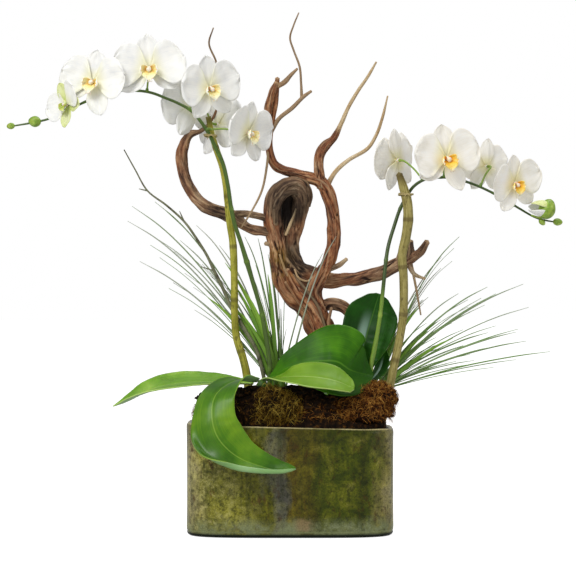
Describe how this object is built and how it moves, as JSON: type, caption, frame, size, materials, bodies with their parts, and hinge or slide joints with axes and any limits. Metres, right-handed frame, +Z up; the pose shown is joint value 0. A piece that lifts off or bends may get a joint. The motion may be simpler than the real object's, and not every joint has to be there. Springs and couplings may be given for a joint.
{
  "type": "moth orchids in a glazed planter",
  "caption": "White moth orchids staked in a low mottled green glazed planter, with gnarled driftwood, strap leaves, moss and fine grass.",
  "frame": {"origin": "middle of the planter's flat underside", "axes": "+Z up, +X along the planter's long side to the viewer's right, the flowers face -Y"},
  "size_m": [0.7412, 0.2031, 0.7004],
  "materials": {
    "glaze": "mottled olive and moss green crackle glaze, glossy",
    "soil": "dark damp bark and soil",
    "moss": "golden olive moss",
    "coir": "russet coir fibre",
    "driftwood": "weathered, reddish brown and grey, gnarled",
    "stake_green": "yellow green bark",
    "stake_olive": "olive tan bark",
    "tie": "tan raffia",
    "spike": "dark green living stem, satin",
    "leaf_bright": "mid green, waxy",
    "leaf_dark": "deep green, waxy",
    "petal": "white, fine veined, soft",
    "bud": "pale green",
    "twig": "thin grey brown bark",
    "grass": "grey green blades"
  },
  "bodies": {
    "root": {"pot": "glaze", "growing_medium": "soil", "moss_clump": "moss", "coir_mat": "coir", "driftwood": "driftwood", "stake_left": "stake_green", "stake_right": "stake_olive", "tie_left": "tie", "tie_right": "tie", "spike_left": "spike", "spike_right": "spike", "crown_left": "leaf_dark", "crown_right": "leaf_dark", "leaf_left_long": "leaf_bright", "leaf_left_drape": "leaf_bright", "leaf_left_light": "leaf_bright", "leaf_left_wide": "leaf_dark", "leaf_right_upright": "leaf_dark", "leaf_right_small": "leaf_dark", "bud_right": "bud", "twig": "twig", "grass_left": "grass", "grass_right": "grass", "bloom_left_1": "petal", "bloom_left_2": "petal", "bloom_left_3": "petal", "bloom_left_4": "petal", "bloom_left_5": "petal", "bloom_left_6": "petal", "bloom_left_7": "petal", "bloom_right_1": "petal", "bloom_right_2": "petal", "bloom_right_3": "petal", "bloom_right_4": "petal"}
  },
  "joints": []
}
